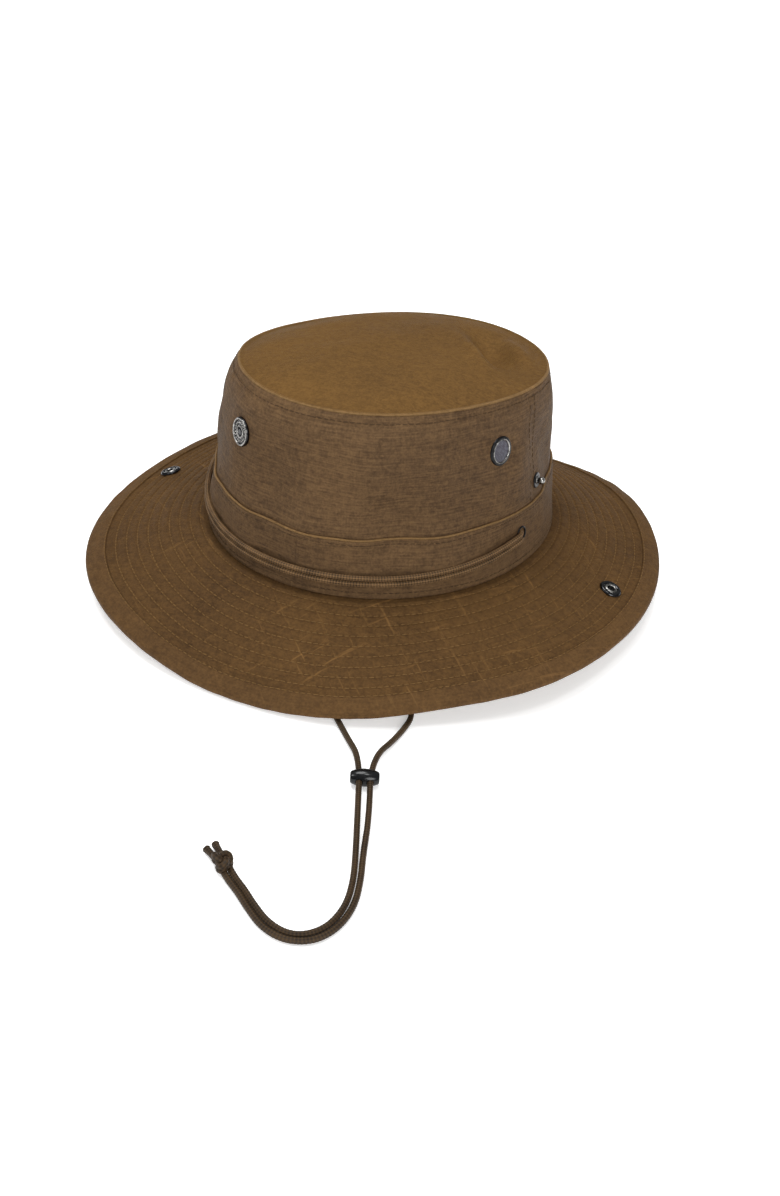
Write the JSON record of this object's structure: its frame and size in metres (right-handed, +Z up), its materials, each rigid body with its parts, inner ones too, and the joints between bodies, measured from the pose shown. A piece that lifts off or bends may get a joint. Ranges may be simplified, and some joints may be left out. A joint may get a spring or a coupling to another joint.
{
  "type": "boonie hat",
  "caption": "Wide-brimmed boonie hat with vented crown, snap-up brim sides and a braided chin cord with a sliding cord lock.",
  "frame": {"origin": "on the surface the hat stands on, under the middle of the brim's oval", "axes": "+Z up through the crown, -Y to the front of the hat, +X to the wearer's left"},
  "size_m": [0.3088, 0.4526, 0.1245],
  "materials": {
    "crown_canvas": "waxed plain weave, matt with a faint sheen",
    "brim_canvas": "waxed plain weave, matt with a faint sheen",
    "binding_canvas": "waxed plain weave, folded hem",
    "stiffener_web": "non-woven interlining",
    "sweatband_cotton": "cotton twill",
    "cord_braid": "braided polyester cord",
    "black_plastic": "gloss",
    "black_metal": "black oxide",
    "steel_mesh": "woven wire",
    "silver_metal": "antiqued",
    "gunmetal": "dark polished"
  },
  "bodies": {
    "hat": {"brim_binding_back": "binding_canvas", "brim_binding_front": "binding_canvas", "brim_stiffener_centre": "stiffener_web", "brim_under_cloth_centre": "brim_canvas", "brim_upper_cloth_centre": "brim_canvas", "chin_cord_left": "cord_braid", "chin_cord_right": "cord_braid", "cord_eyelets": "black_metal", "cord_knot": "cord_braid", "cord_stops": "cord_braid", "cord_tails": "cord_braid", "crown_back_panel": "crown_canvas", "crown_cord_lower": "cord_braid", "crown_cord_upper": "cord_braid", "crown_front_panel": "crown_canvas", "crown_tip": "crown_canvas", "emblem_disc": "silver_metal", "emblem_washer": "gunmetal", "eyelet_washers": "black_metal", "hat_band": "crown_canvas", "snap_stud_washers": "gunmetal", "snap_studs": "gunmetal", "sweatband": "sweatband_cotton", "vent_grommets": "gunmetal", "vent_screens": "steel_mesh", "vent_washers": "gunmetal"},
    "brim_left": {"brim_binding_left": "binding_canvas", "brim_stiffener_left": "stiffener_web", "brim_under_cloth_left": "brim_canvas", "brim_upper_cloth_left": "brim_canvas", "snap_cap_left": "gunmetal", "snap_socket_left": "gunmetal"},
    "brim_right": {"brim_binding_right": "binding_canvas", "brim_stiffener_right": "stiffener_web", "brim_under_cloth_right": "brim_canvas", "brim_upper_cloth_right": "brim_canvas", "snap_cap_right": "gunmetal", "snap_socket_right": "gunmetal"},
    "cord_lock": {"cord_toggle": "black_plastic"}
  },
  "joints": [
    {"name": "brim_left_fold", "type": "hinge", "parent": "hat", "child": "brim_left", "pos_m": [0.097, 0, 0.0335], "axis": [0, -1, 0], "range_deg": [0, 114]},
    {"name": "brim_right_fold", "type": "hinge", "parent": "hat", "child": "brim_right", "pos_m": [-0.097, 0, 0.0335], "axis": [0, 1, 0], "range_deg": [0, 114]},
    {"name": "cord_lock_slide", "type": "slide", "parent": "hat", "child": "cord_lock", "axis": [0.4, -0.9165, 0], "range_m": [0, 0.012]}
  ]
}
